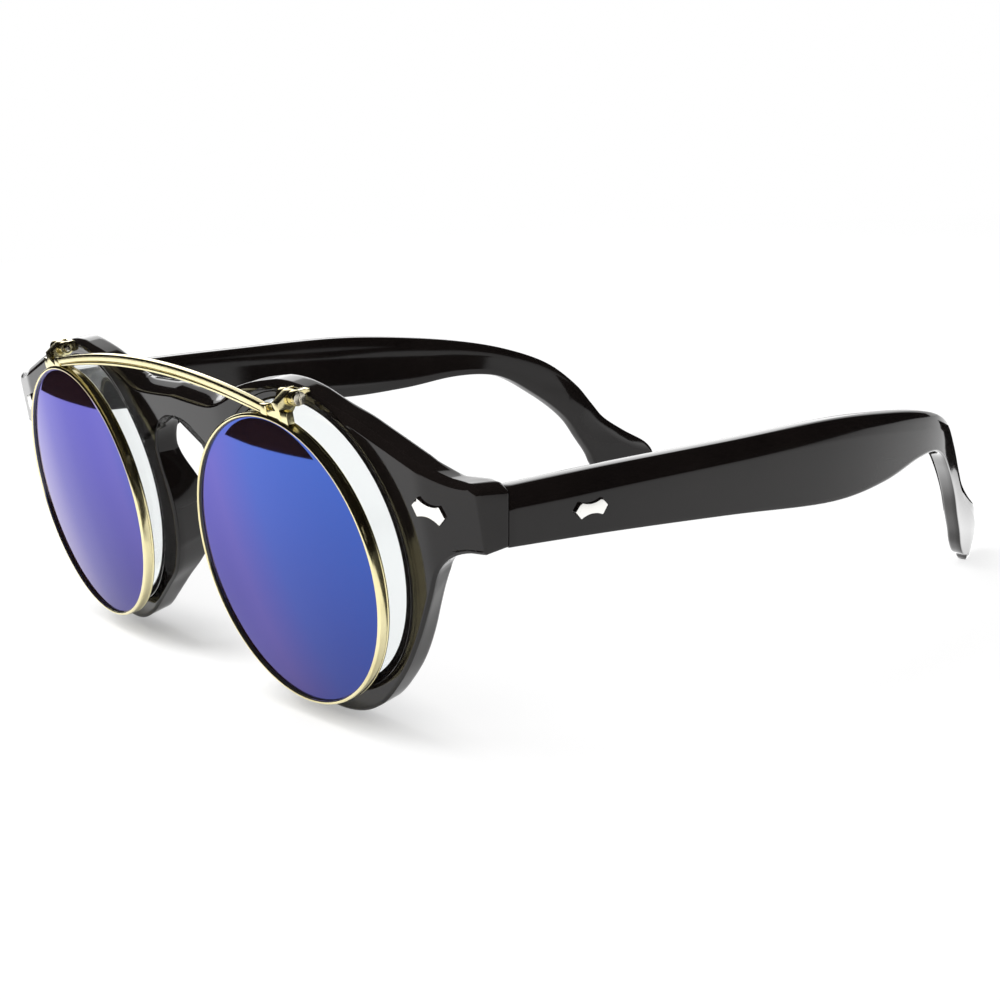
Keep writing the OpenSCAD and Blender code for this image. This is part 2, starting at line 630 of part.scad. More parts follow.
module temple_hinge_leaf(side) {
    color("#c9c2ae") rest_pose() one_side(side) difference() {
        union() {
            difference() {
                translate([leaf_x, seam_y + side_gap, hinge_low]) cube([leaf_t, leaf_l, hinge_h]);
                for (z = [hinge_low - 1, hinge_mid + mid_h / 2]) barrel(z, side_h + face_gap + 1, barrel_r + 0.3);
            }
            barrel(hinge_mid - mid_h / 2, mid_h);
            translate([hinge_x, seam_y, hinge_mid - mid_h / 2]) cube([leaf_x + leaf_t - hinge_x, barrel_r + 0.6, mid_h]);
        }
        screw_bore();
    }
}

module temple_screw(side) {
    head_t = 0.5;
    color("#b8b2a2") rest_pose() one_side(side) translate([hinge_x, seam_y, hinge_mid]) difference() {
        union() {
            translate([0, 0, -hinge_h / 2]) cylinder(h = hinge_h + 0.02, r = screw_r, $fn = 32);
            translate([0, 0, hinge_h / 2 + 0.02]) cylinder(h = head_t, r = screw_r + 0.45, $fn = 32);
        }
        translate([-2, -0.15, hinge_h / 2 + head_t - 0.25]) cube([4, 0.3, 1]);
    }
}

front_frame();
clear_lens(1);  // clear_lens_left
clear_lens(-1);  // clear_lens_right
front_plaque(1);  // front_plaque_left
front_plaque(-1);  // front_plaque_right
flip_bracket(1);  // flip_bracket_left
flip_bracket(-1);  // flip_bracket_right
flip_pin(1);  // flip_pin_left
flip_pin(-1);  // flip_pin_right
front_hinge_leaf(1);  // front_hinge_leaf_left
front_hinge_leaf(-1);  // front_hinge_leaf_right
temple_screw(1);  // temple_screw_left
temple_screw(-1);  // temple_screw_right
temple(1);  // temple_left
temple(-1);  // temple_right
temple_plaque(1);  // temple_plaque_left
temple_plaque(-1);  // temple_plaque_right
temple_hinge_leaf(1);  // temple_hinge_leaf_left
temple_hinge_leaf(-1);  // temple_hinge_leaf_right
clip_rim(1);  // clip_rim_left
clip_rim(-1);  // clip_rim_right
tinted_lens(1);  // tinted_lens_left
tinted_lens(-1);  // tinted_lens_right
clip_tab(1);  // clip_tab_left
clip_tab(-1);  // clip_tab_right
clip_bridge();
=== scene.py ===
import json
import math

import bmesh
import bpy
from mathutils import Matrix, Vector


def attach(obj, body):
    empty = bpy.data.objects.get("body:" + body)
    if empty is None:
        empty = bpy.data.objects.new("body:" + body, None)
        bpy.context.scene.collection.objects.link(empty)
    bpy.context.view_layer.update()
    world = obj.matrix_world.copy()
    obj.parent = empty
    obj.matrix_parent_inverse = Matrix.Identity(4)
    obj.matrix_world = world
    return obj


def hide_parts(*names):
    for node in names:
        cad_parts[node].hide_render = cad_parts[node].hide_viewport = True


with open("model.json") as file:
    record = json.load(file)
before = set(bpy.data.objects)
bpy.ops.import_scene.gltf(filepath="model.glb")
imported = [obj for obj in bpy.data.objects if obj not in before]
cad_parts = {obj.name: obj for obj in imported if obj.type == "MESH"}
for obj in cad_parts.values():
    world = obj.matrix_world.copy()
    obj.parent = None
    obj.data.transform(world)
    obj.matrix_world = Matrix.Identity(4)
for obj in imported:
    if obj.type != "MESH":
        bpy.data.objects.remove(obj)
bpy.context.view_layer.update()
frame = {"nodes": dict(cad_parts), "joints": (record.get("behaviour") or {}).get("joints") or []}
print("frame loaded:", len(frame["nodes"]), "nodes")

# measures shared by all pieces, in millimetres, in the plane of the front unless noted
frontSize = {
    "rimX": 33.0,
    "wrap": math.radians(3.3),
    "panto": math.radians(10),
    "faceDepth": 4.4,
    "backDepth": 8.4,
    "openingR": 21.8,
    "openingU": 1.4,
    "openingV": 1.8,
    "ringR": 26.0,
    "ringV": 0.3,
    "bridgeTop": 22.0,
    "bridgeLow": 16.55,
    "keyholeR": 7.7,
    "keyholeU": -31.8,
    "middleU": -18.0,
    "armU": 30.0,
    "armTurn": math.radians(11),
    "armSoft": 1.6,
    "cornerU": 40.2,
    "cornerTop": 15.3,
    "cornerLow": 5.5,
    "halfWidth": 73.3,
    "seamY": 10.7,
    "hingeMid": 11.8,
    "flipY": 3.32055,
    "flipZ": 24.8,
}

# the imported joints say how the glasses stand: the fold axis gives the tilt and the flip axis the place
jointOf = {joint["name"]: joint for joint in frame["joints"]}
foldAxis = jointOf["fold_left"]["axis"]
restTilt = math.atan2(foldAxis[1], foldAxis[2])
lean = frontSize["panto"] - restTilt
millimetres = Matrix.Scale(0.001, 4)
leanTurn = Matrix.Rotation(lean, 4, "X")
flipPlace = Vector(jointOf["flip_up"]["pos_m"])
shift = Matrix.Translation(flipPlace - leanTurn @ Vector((0, frontSize["flipY"], frontSize["flipZ"])) * 0.001)
frontPlane = shift @ leanTurn @ millimetres
templePlane = shift @ Matrix.Rotation(-restTilt, 4, "X") @ millimetres


def linkPiece(name, mesh, place, body, material, stands, mirrored=False):
    if mirrored:
        bmesh.ops.scale(mesh, vec=(-1, 1, 1), verts=mesh.verts)
    bmesh.ops.recalc_face_normals(mesh, faces=mesh.faces)
    bmesh.ops.transform(mesh, matrix=place, verts=mesh.verts)
    data = bpy.data.meshes.new(name)
    mesh.to_mesh(data)
    mesh.free()
    piece = bpy.data.objects.new(name, data)
    bpy.context.scene.collection.objects.link(piece)
    for face in data.polygons:
        face.use_smooth = True
    data.materials.append(material)
    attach(piece, body)
    if stands:
        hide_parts(*stands)
    return piece


def mixPoints(a, b, t):
    return tuple(p + (q - p) * t for p, q in zip(a, b))


def quadCurve(a, b, c, t):
    return tuple((1 - t) ** 2 * p + 2 * t * (1 - t) * q + t * t * r for p, q, r in zip(a, b, c))


def splinePoint(a, b, c, d, t):
    return tuple(0.5 * (2 * q + (r - p) * t + (2 * p - 5 * q + 4 * r - s) * t * t + (3 * q - p - 3 * r + s) * t ** 3)
                 for p, q, r, s in zip(a, b, c, d))


def splineThrough(points, count):
    last = len(points) - 1
    curve = [splinePoint(points[max(i - 1, 0)], points[i], points[i + 1], points[min(i + 2, last)], k / count)
             for i in range(last) for k in range(count)]
    return curve + [points[last]]


def rise(x, low, high):
    t = min(1, max(0, (x - low) / (high - low)))
    return t * t * (3 - 2 * t)


def startRing(mesh, points):
    corners = [mesh.verts.new(p) for p in points]
    edges = [mesh.edges.new((corners[i], corners[(i + 1) % len(corners)])) for i in range(len(corners))]
    return corners, edges


def extrudeRing(mesh, corners, edges, points):
    # one step of the loft: the open edge loop is extruded and its copy is moved to the next points
    made = bmesh.ops.extrude_edge_only(mesh, edges=edges)["geom"]
    place = {corner: i for i, corner in enumerate(corners)}
    fresh = [None] * len(corners)
    for item in made:
        if isinstance(item, bmesh.types.BMVert):
            for edge in item.link_edges:
                below = edge.other_vert(item)
                if below in place:
                    fresh[place[below]] = item
    for corner, point in zip(fresh, points):
        corner.co = point
    grown = set(fresh)
    newEdges = [item for item in made if isinstance(item, bmesh.types.BMEdge)]
    return fresh, [edge for edge in newEdges if all(v in grown for v in edge.verts)]


def loftRings(mesh, rings, closed=False):
    corners, edges = startRing(mesh, rings[0])
    first, firstEdges = corners, edges
    for points in rings[1:]:
        corners, edges = extrudeRing(mesh, corners, edges, points)
    if closed:
        bmesh.ops.bridge_loops(mesh, edges=firstEdges + edges)
    else:
        mesh.faces.new(first)
        mesh.faces.new(corners)


# finishes
def newMaterial(name):
    material = bpy.data.materials.new(name)
    material.use_nodes = True
    tree = material.node_tree
    return material, tree, tree.nodes["Principled BSDF"]


def addNode(tree, kind, **settings):
    node = tree.nodes.new(kind)
    for key, value in settings.items():
        if key in node.inputs:
            node.inputs[key].default_value = value
        else:
            setattr(node, key, value)
    return node


def addRamp(tree, source, stops):
    ramp = addNode(tree, "ShaderNodeValToRGB")
    while len(ramp.color_ramp.elements) < len(stops):
        ramp.color_ramp.elements.new(0.5)
    for element, (place, value) in zip(ramp.color_ramp.elements, stops):
        element.position = place
        element.color = (*value, 1) if isinstance(value, tuple) else (value, value, value, 1)
    tree.links.new(source, ramp.inputs["Fac"])
    return ramp


def fineScratches(tree, shader, scale, stretch, roughFrom, roughTo, bump):
    place = addNode(tree, "ShaderNodeTexCoord")
    turn = addNode(tree, "ShaderNodeMapping")
    turn.inputs["Scale"].default_value = stretch
    tree.links.new(place.outputs["Object"], turn.inputs["Vector"])
    grain = addNode(tree, "ShaderNodeTexNoise", Scale=scale, Detail=6.0, Roughness=0.6)
    tree.links.new(turn.outputs["Vector"], grain.inputs["Vector"])
    spread = addNode(tree, "ShaderNodeMapRange")
    spread.inputs["To Min"].default_value = roughFrom
    spread.inputs["To Max"].default_value = roughTo
    tree.links.new(grain.outputs["Fac"], spread.inputs["Value"])
    tree.links.new(spread.outputs["Result"], shader.inputs["Roughness"])
    relief = addNode(tree, "ShaderNodeBump", Strength=bump, Distance=0.00002)
    tree.links.new(grain.outputs["Fac"], relief.inputs["Height"])
    tree.links.new(relief.outputs["Normal"], shader.inputs["Normal"])
    return place


def acetateFinish():
    material, tree, shader = newMaterial("polishedAcetate")
    look = {"deep": (0.0045, 0.0035, 0.0033), "worn": (0.0085, 0.0066, 0.006), "index": 1.48, "sheen": 0.34}
    shader.inputs["IOR"].default_value = look["index"]
    shader.inputs["Specular IOR Level"].default_value = look["sheen"]
    place = fineScratches(tree, shader, 240, (1, 1, 1), 0.045, 0.085, 0.03)
    cloud = addNode(tree, "ShaderNodeTexNoise", Scale=55.0, Detail=4.0)
    tree.links.new(place.outputs["Object"], cloud.inputs["Vector"])
    tone = addRamp(tree, cloud.outputs["Fac"], [(0.35, look["deep"]), (0.75, look["worn"])])
    tree.links.new(tone.outputs["Color"], shader.inputs["Base Color"])
    return material


def metalFinish(name, look):
    material, tree, shader = newMaterial(name)
    shader.inputs["Metallic"].default_value = 1
    place = fineScratches(tree, shader, look["grain"], look["stretch"], look["smooth"], look["rough"], look["bump"])
    cloud = addNode(tree, "ShaderNodeTexNoise", Scale=look["cloud"], Detail=3.0)
    tree.links.new(place.outputs["Object"], cloud.inputs["Vector"])
    tone = addRamp(tree, cloud.outputs["Fac"], [(0.3, look["dark"]), (0.7, look["light"])])
    tree.links.new(tone.outputs["Color"], shader.inputs["Base Color"])
    return material


def mirrorFinish():
    # the coating runs from blue seen squarely to violet and lilac seen from the side
    material, tree, shader = newMaterial("mirrorCoating")
    look = {
        "stops": [(0.0, (0.03, 0.12, 0.5)), (0.4, (0.055, 0.135, 0.56)), (0.5, (0.06, 0.135, 0.6)),
                  (0.57, (0.11, 0.105, 0.58)), (0.61, (0.06, 0.055, 0.54)), (0.66, (0.025, 0.02, 0.52)),
                  (0.72, (0.03, 0.02, 0.55)), (0.79, (0.2, 0.17, 0.66)), (0.86, (0.6, 0.54, 0.82)),
                  (1.0, (0.95, 0.92, 0.97))],
        # low and high: a height in metres and the tint there; the darker, more violet bottom is painted shade for the
        # shaded floor the lens reflects
        "low": (0.003, (0.52, 0.42, 0.47)),
        "high": (0.046, (0.86, 0.86, 0.86)),
        "body": (0.12, 0.055, 0.05, 1),
        "bodyShare": 0.09,
    }
    shader.inputs["Metallic"].default_value = 1
    place = fineScratches(tree, shader, 90, (1, 1, 1), 0.02, 0.035, 0.0)
    facing = addNode(tree, "ShaderNodeLayerWeight", Blend=0.5)
    tone = addRamp(tree, facing.outputs["Facing"], look["stops"])
    cloud = addNode(tree, "ShaderNodeTexNoise", Scale=26.0, Detail=2.0)
    tree.links.new(place.outputs["Object"], cloud.inputs["Vector"])
    shade = addRamp(tree, cloud.outputs["Fac"], [(0.3, 0.92), (0.7, 1.0)])
    # painted shade: the coating is tinted darker from the top of the lens towards its bottom
    height = addNode(tree, "ShaderNodeSeparateXYZ")
    tree.links.new(place.outputs["Object"], height.inputs["Vector"])
    share = addNode(tree, "ShaderNodeMapRange")
    share.inputs["From Min"].default_value, share.inputs["From Max"].default_value = look["low"][0], look["high"][0]
    tree.links.new(height.outputs["Z"], share.inputs["Value"])
    fade = addRamp(tree, share.outputs["Result"], [(0.0, look["low"][1]), (1.0, look["high"][1])])
    tinted = multiply(tree, multiply(tree, tone.outputs["Color"], shade.outputs["Color"]), fade.outputs["Color"])
    tree.links.new(tinted, shader.inputs["Base Color"])
    body = addNode(tree, "ShaderNodeBsdfDiffuse", Color=look["body"])
    both = mixShaders(tree, shader.outputs["BSDF"], body.outputs["BSDF"], tree.nodes["Material Output"])
    both.inputs["Fac"].default_value = look["bodyShare"]
    return material


def mixShaders(tree, first, second, output):
    both = addNode(tree, "ShaderNodeMixShader")
    tree.links.new(first, both.inputs[1])
    tree.links.new(second, both.inputs[2])
    tree.links.new(both.outputs["Shader"], output.inputs["Surface"])
    return both


def multiply(tree, first, second):
    blend = addNode(tree, "ShaderNodeMix", data_type="RGBA", blend_type="MULTIPLY")
    blend.inputs["Factor"].default_value = 1
    tree.links.new(first, blend.inputs["A"])
    tree.links.new(second, blend.inputs["B"])
    return blend.outputs["Result"]


def smokeFinish():
    # the uncoated smoky back of the clip lenses, and their dark raised edge, which is painted shade standing in for the
    # shaded inner wall of the wire rim
    material, tree, shader = newMaterial("smokyBackAndShadeEdge")
    look = {"deep": (0.004, 0.0035, 0.004), "light": (0.009, 0.008, 0.009)}
    place = fineScratches(tree, shader, 120, (1, 1, 1), 0.03, 0.06, 0.01)
    cloud = addNode(tree, "ShaderNodeTexNoise", Scale=40.0, Detail=2.0)
    tree.links.new(place.outputs["Object"], cloud.inputs["Vector"])
    tone = addRamp(tree, cloud.outputs["Fac"], [(0.3, look["deep"]), (0.7, look["light"])])
    tree.links.new(tone.outputs["Color"], shader.inputs["Base Color"])
    return material


def clearFinish():
    material, tree, shader = newMaterial("clearPolished")
    tree.nodes.remove(shader)
    look = {"through": (0.97, 0.985, 0.985, 1), "sheen": 0.03, "square": 0.03, "side": 0.5}
    through = addNode(tree, "ShaderNodeBsdfTransparent", Color=look["through"])
    gloss = addNode(tree, "ShaderNodeBsdfGlossy", Roughness=look["sheen"])
    facing = addNode(tree, "ShaderNodeLayerWeight", Blend=0.5)
    edgeStops = [(0.0, look["square"]), (0.6, look["square"] * 2), (1.0, look["side"])]
    edge = addRamp(tree, facing.outputs["Facing"], edgeStops)
    place = addNode(tree, "ShaderNodeTexCoord")
    smear = addNode(tree, "ShaderNodeTexNoise", Scale=60.0, Detail=3.0)
    tree.links.new(place.outputs["Object"], smear.inputs["Vector"])
    tone = addRamp(tree, smear.outputs["Fac"], [(0.3, (0.9, 0.93, 0.95)), (0.7, (1.0, 1.0, 1.0))])
    tree.links.new(tone.outputs["Color"], gloss.inputs["Color"])
    both = mixShaders(tree, through.outputs["BSDF"], gloss.outputs["BSDF"], tree.nodes["Material Output"])
    tree.links.new(edge.outputs["Color"], both.inputs["Fac"])
    return material


goldLook = {"dark": (0.78, 0.69, 0.38), "light": (0.88, 0.8, 0.48), "smooth": 0.1, "rough": 0.2, "grain": 700,
            "stretch": (1, 1, 1), "bump": 0.04, "cloud": 120.0}
nickelLook = {"dark": (0.6, 0.56, 0.46), "light": (0.75, 0.71, 0.6), "smooth": 0.14, "rough": 0.28, "grain": 900,
              "stretch": (1, 1, 3), "bump": 0.06, "cloud": 150.0}
plaqueLook = {"dark": (0.74, 0.73, 0.7), "light": (0.88, 0.87, 0.84), "smooth": 0.08, "rough": 0.16, "grain": 800,
              "stretch": (1, 1, 2), "bump": 0.03, "cloud": 200.0}
acetate = acetateFinish()
gold = metalFinish("paleGold", goldLook)
nickel = metalFinish("nickelSilver", nickelLook)
silver = metalFinish("silverRivet", plaqueLook)
mirrorCoat = mirrorFinish()
smokyBackAndShadeEdge = smokeFinish()
clearGlass = clearFinish()
print("finishes made")


# front
def ringPoint(degrees):
    angle, radius = math.radians(degrees), frontSize["ringR"]
    return (radius * math.cos(angle), frontSize["ringV"] + radius * math.sin(angle))


# how each stretch of the edge is shaped: width and depth of the front bevel,
# how far the back is drawn in, and the rounding of the back edge
edgeShapes = {
    "keyhole": {"wide": 0.25, "deep": 0.25, "drawn": 0.0, "soft": 0.45},
    "nose": {"wide": 0.4, "deep": 0.35, "drawn": 0.1, "soft": 0.75},
    "flank": {"wide": 0.4, "deep": 0.35, "drawn": 0.5, "soft": 0.75},
    "under": {"wide": 0.4, "deep": 0.35, "drawn": 0.1, "soft": 0.4},
    "end": {"wide": 0.35, "deep": 0.3, "drawn": 0.0, "soft": 0.12},
    "top": {"wide": 1.05, "deep": 0.75, "drawn": 0.0, "soft": 0.7},
    "bridge": {"wide": 1.5, "deep": 2.6, "drawn": 0.0, "soft": 0.6},
}


# the moulded nose pad: heights where it starts and ends, how far its wall runs on to the back and leans outwards
padSize = {"start": (-7.6, -3.4), "end": (8.5, 16.5), "out": 3.7, "lean": 1.5, "inside": -8, "below": 9}


def halfOutline():
    # the edge of half the front, from the top of the nose gap round the ring and over the top to the bridge
    size = frontSize
    pad = padSize
    outline = []

    def add(points, shape):
        for u, v in points:
            edge = dict(edgeShapes[shape], u=u, v=v, out=0.0)
            if shape in ("nose", "keyhole") and u < pad["inside"] and v < pad["below"]:
                share = rise(-v, *pad["start"]) * (1 - rise(-v, *pad["end"]))
                edge["out"] = pad["out"] * share
                edge["drawn"] += pad["lean"] * share
            if shape == "nose" and v < -18:
                edge["drawn"] += 0.8 * rise(u, -10, 0)
            if shape == "flank":
                edge["drawn"] = 0.15 + 0.75 * rise(v, -13, -3) + 0.75 * (1 - rise(u, 3, 12))
            outline.append(edge)

    radius = size["keyholeR"]
    keyholeV = size["bridgeLow"] - radius
    arc = [(size["keyholeU"] + radius * math.cos(math.radians(a)), keyholeV + radius * math.sin(math.radians(a)))
           for a in range(90, -9, -4)]
    add([(-size["rimX"], size["bridgeLow"]), (-32.4, size["bridgeLow"])] + arc, "keyhole")
    add([ringPoint(a) for a in range(168, 195, 2)], "nose")
    noseLine = [ringPoint(195), (-22.4, -11.3), (-18, -15), (-13, -18.8), (-8.6, -21.9),
                (-3.8, -24.3), (0.8, -25.3)]
    add(splineThrough(noseLine, 6), "nose")
    flankLine = [(5.0, -25.1), (9.6, -23.6), (13.9, -20.8), (18.1, -16.9), (21.2, -13.4),
                 (24.4, -8.9), (26.8, -5), (28.6, -1.9), (30, 0.8)]
    add(splineThrough(flankLine, 5), "flank")
    underTo = (size["armU"] + 6.5, size["cornerLow"] - 0.1)
    add([quadCurve((size["armU"], 0.8), (size["armU"] + 2.1, 4.7), underTo, k / 9) for k in range(1, 10)], "under")
    u, low, top = size["cornerU"], size["cornerLow"], size["cornerTop"] - 0.7
    add([(u - 3, low), (u - 2, low), (u - 1, low)], "under")
    add([(u - 0.4, low + 0.04), (u - 0.1, low + 0.2), (u, low + 0.6)], "end")
    add([(u, low + 0.6 + k * (top - low - 1.4) / 5) for k in range(1, 6)], "end")
    add([(u - 0.1, top - 0.3), (u - 0.5, top + 0.05)], "end")
    # the top edge runs from the corner down to the ring, which it leaves at this angle, with a swelling on the way
    leave = 66
    topFrom = ringPoint(leave)
    knee = (topFrom[0] + (size["cornerTop"] - topFrom[1]) * -math.tan(math.radians(leave)), size["cornerTop"])
    for k in range(0, 27):
        t = 0.93 * (1 - k / 26)
        along, high = quadCurve(topFrom, knee, (u, size["cornerTop"]), t)
        add([(along, high + rise(t, -0.05, 0.22) * (1 - rise(t, 0.3, 0.9)))], "top")
    add([ringPoint(a) for a in range(69, 96, 3)], "top")
    bridgeTop = size["bridgeTop"]
    shoulder = [(-4.6, 26.0), (-10.8, bridgeTop + 2.8), (-14.5, bridgeTop + 1.2), (size["middleU"], bridgeTop)]
    add(splineThrough(shoulder, 4)[:-1], "top")
    bridge = [(size["middleU"], bridgeTop), (-22, bridgeTop - 0.4), (-27, bridgeTop - 0.3)]
    bridge.append((-size["rimX"], bridgeTop))
    add(splineThrough(bridge, 6), "bridge")
    return outline


def softenShapes(outline, passes):
    # the bevel widths pass gently from one stretch of the edge to the next
    for _ in range(passes):
        before = outline
        outline = [dict(edge) for edge in before]
        for a, b, c, edge in zip(before, before[1:], before[2:], outline[1:]):
            # the keyhole runs into the pad in one curve, so does the ring into the bridge and round its bottom
            keyholeEnd = abs(b["u"] + 24.8) < 2 and 1 < b["v"] < 10
            bridgeEnd = -20 < b["u"] < -3 and b["v"] > 20
            join = keyholeEnd or bridgeEnd or b["v"] < -22
            for key in ("wide", "deep", "drawn", "soft", "out") + (("u", "v") if join else ()):
                edge[key] = (a[key] + 2 * b[key] + c[key]) / 4
    return outline


def openingAngles(points):
    # where on the opening each edge point looks; spread out where the edge leaves the ring
    size = frontSize
    raw = []
    for u, v in points:
        angle = math.atan2(v - size["openingV"], u - size["openingU"])
        while raw and angle < raw[-1] - math.pi:
            angle += 2 * math.pi
        raw.append(angle)
    lengths = [math.dist(points[i], points[(i + 1) % len(points)]) for i in range(len(points))]
    even = list(raw)

    def spread(first, last):
        total = sum(lengths[first:last])
        run = 0
        for i in range(first, last + 1):
            even[i] = raw[first] + (raw[last] - raw[first]) * run / total
            run += lengths[i]

    flankEnd = next(i for i, p in enumerate(points) if p[0] > 27.5)
    topStart = next(i for i, p in enumerate(points) if i > flankEnd and p[1] > 12 and p[0] < 24)
    spread(flankEnd, topStart)
    return even


bendTable = {}


def prepareBend():
    # the centre line of the front seen from above, walked in small steps from the lens centre both ways
    size = frontSize
    step = 0.05
    wrap, armU, soft = size["wrap"], size["armU"], size["armSoft"]
    start = Vector((size["rimX"] - size["faceDepth"] * math.sin(wrap), size["faceDepth"] * math.cos(wrap)))

    def angleAt(u):
        turned = wrap * rise(u, size["middleU"] - 2.5, size["middleU"] + 2.5)
        return turned + size["armTurn"] * rise(u, armU - soft, armU + soft)

    for way in (1, -1):
        place = start.copy()
        for k in range(int(48 / step)):
            u = way * k * step
            bendTable[way * k] = (place.copy(), angleAt(u))
            place = place + way * step * Vector((math.cos(angleAt(u)), math.sin(angleAt(u))))
    bendTable["step"] = step
    middle = bendTable[round(size["middleU"] / step)][0].x
    bendTable["squeeze"] = middle / (middle - bendTable[round(-size["rimX"] / step)][0].x)


def bendPoint(u, depth, v):
    size = frontSize
    key = u / bendTable["step"]
    low = math.floor(key)
    placeA, angleA = bendTable[low]
    placeB, angleB = bendTable[low + 1]
    place, angle = placeA.lerp(placeB, key - low), angleA + (angleB - angleA) * (key - low)
    behind = depth - size["faceDepth"]
    x, y = place.x - behind * math.sin(angle), place.y + behind * math.cos(angle)
    if u < size["middleU"]:
        edge = bendTable[round(size["middleU"] / bendTable["step"])][0].x
        x = edge - (edge - x) * bendTable["squeeze"]
    return (x, y, v)


def reachSeam(u, depth, v):
    # behind its corner the side of the end piece runs along the temple to the seam
    size = frontSize
    block = {"thick": 3.8, "height": 8.15, "gap": 0.1, "start": 0.35}
    place = Vector(bendPoint(u, depth, v))
    start = size["faceDepth"] + block["start"]
    along = min(1, max(0, (depth - start) / (size["backDepth"] - start)))
    if u < 30 or along == 0:
        return place
    inner = size["cornerU"] - block["thick"]
    share = (v - size["cornerLow"]) / (size["cornerTop"] - 0.7 - size["cornerLow"])
    height = size["hingeMid"] + (share - 0.5) * block["height"]
    seam = Vector((size["halfWidth"] + u - size["cornerU"], size["seamY"] - block["gap"], height))
    seam.rotate(Matrix.Rotation(-size["panto"], 3, "X"))
    back = Vector(bendPoint(u, size["backDepth"], v))
    pull = seam - back
    near = rise(u, inner - 0.5, inner + 0.3)
    return place + along * Vector((pull.x * near, pull.y * near, pull.z * rise(u, 30.5, 39)))


def buildFront():
    size = frontSize
    # the bead round each lens opening: how far outside the opening, as a share of its width, and how deep it lies
    bead = {
        "width": 1.9,
        "lip": 0.3,
        "shape": [(0.02, 0.27), (0.1, 0.19), (0.3, 0.15), (0.6, 0.14),
                  (0.65, 0.1), (0.69, 0.03), (0.75, 0.005), (1.0, 0.0)],
    }
    # the front bevel as shares of its width and depth, then the straight wall and the turns of the rounding behind it
    bevelSteps = ((1.06, 0.0), (0.96, 0.04), (0.5, 0.48), (0.07, 0.93), (0.0, 1.08), (0.0, 1.4))
    wallShares = (0.2, 0.4, 0.6, 0.8, 1.0)
    roundTurns = (22, 45, 68, 90)
    outline = softenShapes(halfOutline(), 16)
    count = len(outline)
    flat = [(edge["u"], edge["v"]) for edge in outline]
    normals = []
    for i in range(count):
        before, after = flat[max(i - 1, 0)], flat[min(i + 1, count - 1)]
        along = Vector((after[0] - before[0], after[1] - before[1])).normalized()
        normals.append((-along.y, along.x))
    normals[0] = (0, 1)
    normals[-1] = (0, -1)
    middle = 6

    def edgeRing(inward, depth):
        # inward and depth are functions of the shape of the edge at each point
        ring = []
        for edge, (nu, nv) in zip(outline, normals):
            by = inward(edge)
            ring.append((edge["u"] + nu * by, depth(edge), edge["v"] + nv * by))
        top, low = ring[-1], ring[0]
        return ring + [mixPoints(top, low, k / middle) for k in range(1, middle)]

    def whole(points):
        return points + [mixPoints(points[-1], points[0], k / middle) for k in range(1, middle)]

    angles = openingAngles([(p[0], p[1]) for p in whole(flat)])

    def openingRing(radius, depth):
        return [(size["openingU"] + radius * math.cos(a), depth, size["openingV"] + radius * math.sin(a))
                for a in angles]

    face, back, r = size["faceDepth"], size["backDepth"], size["openingR"]
    lip = face + bead["lip"]
    rings = [openingRing(r, depth) for depth in (back - 0.4, back - 1.6, lip + 0.6, lip)]
    rings += [openingRing(r + bead["width"] * share, face + deep) for share, deep in bead["shape"]]
    inner = openingRing(r + bead["width"] + 0.12, face)
    outer = edgeRing(lambda e: e["wide"] + 0.3, lambda e: face)
    rings.append(inner)
    rings.append([mixPoints(a, b, 0.04) for a, b in zip(inner, outer)])
    for k in range(1, 8):
        rings.append([mixPoints(a, b, k / 8) for a, b in zip(inner, outer)])
    rings.append(outer)
    for across, down in bevelSteps:
        rings.append(edgeRing(lambda e: e["wide"] * across, lambda e: face + e["deep"] * down))
    for share in wallShares:
        rings.append(edgeRing(lambda e: e["drawn"] * share,
                              lambda e: mixPoints((face + e["deep"] * 1.4,), (back + e["out"] - e["soft"],), share)[0]))
    for turn in roundTurns:
        a = math.radians(turn)
        rings.append(edgeRing(lambda e: e["drawn"] + e["soft"] * (1 - math.cos(a)),
                              lambda e: back + e["out"] - e["soft"] * (1 - math.sin(a))))
    backOuter = edgeRing(lambda e: e["drawn"] + e["soft"] + 0.35, lambda e: back + e["out"])
    backInner = openingRing(r + 0.5, back)
    for k in range(0, 9):
        t = k / 8
        sink = 1 - rise(t, 0.12, 0.85)
        rings.append([(*mixPoints(a[:1], b[:1], t), b[1] + (a[1] - b[1]) * sink, *mixPoints(a[2:], b[2:], t))
                      for a, b in zip(backOuter, backInner)])
    rings.append(openingRing(r + 0.3, back))
    rings.append(openingRing(r + 0.08, back - 0.12))

    mesh = bmesh.new()
    loftRings(mesh, rings, closed=True)
    # the faces in the middle plane go, the other half joins there
    limit = -size["rimX"] + 1e-4
    inside = [f for f in mesh.faces if all(v.co.x < limit for v in f.verts)]
    bmesh.ops.delete(mesh, geom=inside, context="FACES")
    # extra cuts where the front bends
    cuts = [size["middleU"] + k for k in (-2.5, -1.5, -0.5, 0.5, 1.5, 2.5)]
    cuts += [size["armU"] + k * 0.4 for k in range(-4, 5)]
    for at in cuts:
        bmesh.ops.bisect_plane(mesh, geom=mesh.verts[:] + mesh.edges[:] + mesh.faces[:], dist=1e-5,
                               plane_co=(at, 0, 0), plane_no=(1, 0, 0))
    for vert in mesh.verts:
        vert.co = reachSeam(*vert.co)
    bmesh.ops.mirror(mesh, geom=mesh.verts[:] + mesh.edges[:] + mesh.faces[:], axis="X", merge_dist=0.002)
    bmesh.ops.remove_doubles(mesh, verts=mesh.verts, dist=0.0015)
    return linkPiece("frontAcetate", mesh, frontPlane, "front", acetate, ["front_frame"])


prepareBend()
buildFront()
print("front made")


